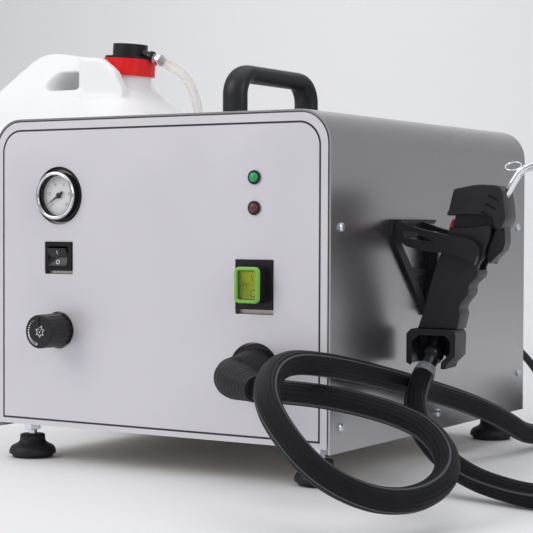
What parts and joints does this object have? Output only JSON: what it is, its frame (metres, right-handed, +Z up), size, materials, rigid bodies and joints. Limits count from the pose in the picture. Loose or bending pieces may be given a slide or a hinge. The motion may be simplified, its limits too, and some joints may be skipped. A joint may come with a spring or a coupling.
{
  "type": "jewelry steam cleaner",
  "caption": "Bench steam cleaner: steel cabinet with gauge, switches and regulator, carrying handle, hand-held steam gun on a hose in a side holder, and a water can with its feed hose.",
  "frame": {"origin": "on the surface it stands on, under the middle of the whole object's box without its hoses and lead", "axes": "+X to the right along the front, +Y from the front to the back, +Z up"},
  "size_m": [0.9463, 0.7579, 0.3972],
  "materials": {
    "steel_cover": "fine satin brushed stainless sheet",
    "fascia_silver": "satin silver coated plate with a thin printed line",
    "sheet_steel": "plain sheet",
    "zinc": "bright zinc plated",
    "black_plastic": "fine moulded texture",
    "gun_plastic": "glass filled plastic, fine grain",
    "black_rubber": "soft black rubber",
    "gauge_black": "black enamel",
    "gauge_rim": "bright rim",
    "dial_white": "white dial with printed scale",
    "clear_lens": "clear",
    "switch_black": "glossy black",
    "switch_green": "lime-yellow rocker",
    "boot_green": "clear lime green silicone boot",
    "lamp_green": "lit green lens",
    "lamp_red": "dark red lens",
    "brass": "turned brass",
    "elbow_black": "wrapped and shrunk sleeve",
    "vessel_steel": "welded stainless",
    "copper_pipe": "bent pipe",
    "pump_grey": "moulded housing",
    "board_green": "coated board",
    "hose_black": "black braided sleeve on a rubber hose",
    "lead_black": "rubber sheathed mains lead",
    "trigger_black": "smooth black",
    "button_red": "red button",
    "nozzle_chrome": "polished bent tube",
    "can_white": "natural polyethylene, slightly see-through",
    "cap_red": "red ribbed screw ring",
    "clear_hose": "soft clear hose",
    "copper_wire": "wire"
  },
  "bodies": {
    "cabinet": {"cover_shell": "steel_cover", "front_fascia": "fascia_silver", "front_chassis_plate": "sheet_steel", "base_tray": "sheet_steel", "rear_panel": "sheet_steel", "case_screws": "zinc", "rubber_feet": "black_rubber", "foot_studs": "zinc", "foot_locknuts": "zinc", "top_handle": "black_plastic", "handle_bolts": "zinc", "gauge_case": "gauge_black", "gauge_bezel": "gauge_rim", "gauge_lens": "clear_lens", "gauge_dial": "dial_white", "hot_water_switch_body": "switch_black", "power_switch_body": "switch_black", "power_switch_boot": "boot_green", "regulator_valve": "brass", "lamp_holders": "black_plastic", "lamp_ready": "lamp_green", "lamp_water": "lamp_red", "outlet_fitting": "brass", "outlet_elbow": "elbow_black", "gun_holder": "black_plastic", "boiler_vessel": "vessel_steel", "boiler_heater": "vessel_steel", "boiler_brackets": "sheet_steel", "safety_valve": "brass", "pressure_switch": "pump_grey", "steam_solenoid": "pump_grey", "steam_pipe": "copper_pipe", "water_pump": "pump_grey", "control_board": "board_green", "water_inlet_barb": "brass", "mains_gland": "black_plastic", "tank_body": "can_white", "tank_shoulder": "can_white", "tank_plug": "black_plastic", "suction_tube": "clear_hose", "steam_hose": "hose_black", "mains_lead": "lead_black", "mains_coil": "lead_black", "mains_plug": "black_plastic", "water_hose": "clear_hose"},
    "needle": {"gauge_needle": "gauge_black"},
    "hot_water_rocker": {"hot_water_rocker": "switch_black"},
    "power_rocker": {"power_rocker": "switch_green"},
    "regulator_knob": {"regulator_knob": "black_plastic"},
    "gun": {"gun_shell_front": "gun_plastic", "gun_shell_back": "gun_plastic", "gun_head": "gun_plastic", "gun_guard": "gun_plastic", "gun_nozzle": "nozzle_chrome", "nozzle_ring": "copper_wire", "gun_boot": "black_rubber", "hose_collar": "black_rubber"},
    "gun_trigger": {"gun_trigger": "trigger_black"},
    "gun_button": {"gun_button": "button_red"},
    "cap_ring": {"tank_cap_ring": "cap_red"}
  },
  "joints": [
    {"name": "needle_turn", "type": "hinge", "parent": "cabinet", "child": "needle", "pos_m": [-0.0227, -0.1907, 0.2282], "axis": [0, 1, 0], "range_deg": [0, 246]},
    {"name": "hot_water_switch", "type": "hinge", "parent": "cabinet", "child": "hot_water_rocker", "pos_m": [-0.0227, -0.1873, 0.1766], "axis": [-1, 0, 0], "range_deg": [0, 16]},
    {"name": "power_switch", "type": "hinge", "parent": "cabinet", "child": "power_rocker", "pos_m": [0.1734, -0.1863, 0.157], "axis": [-1, 0, 0], "range_deg": [0, 16]},
    {"name": "steam_regulator", "type": "hinge", "parent": "cabinet", "child": "regulator_knob", "pos_m": [-0.0227, -0.2028, 0.114], "axis": [0, 1, 0], "range_deg": [-120, 150]},
    {"name": "gun_lift", "type": "slide", "parent": "cabinet", "child": "gun", "axis": [0.2978, 0.0418, 0.9537], "range_m": [0, 0.05]},
    {"name": "trigger_pull", "type": "hinge", "parent": "gun", "child": "gun_trigger", "pos_m": [0.32927, -0.06359, 0.2063], "axis": [-0.1392, 0.9903, 0], "range_deg": [0, 10], "stiffness_Nm_per_rad": 0.15, "springref_deg": -2.86},
    {"name": "thumb_button", "type": "slide", "parent": "gun", "child": "gun_button", "axis": [0.9606, 0.135, -0.243], "range_m": [0, 0.003], "stiffness_N_per_m": 300, "springref_m": -0.001},
    {"name": "cap_turn", "type": "hinge", "parent": "cabinet", "child": "cap_ring", "pos_m": [-0.19227, 0.1402, 0.37098], "axis": [0.0698, 0, 0.9976], "range_deg": [0, 90]}
  ]
}
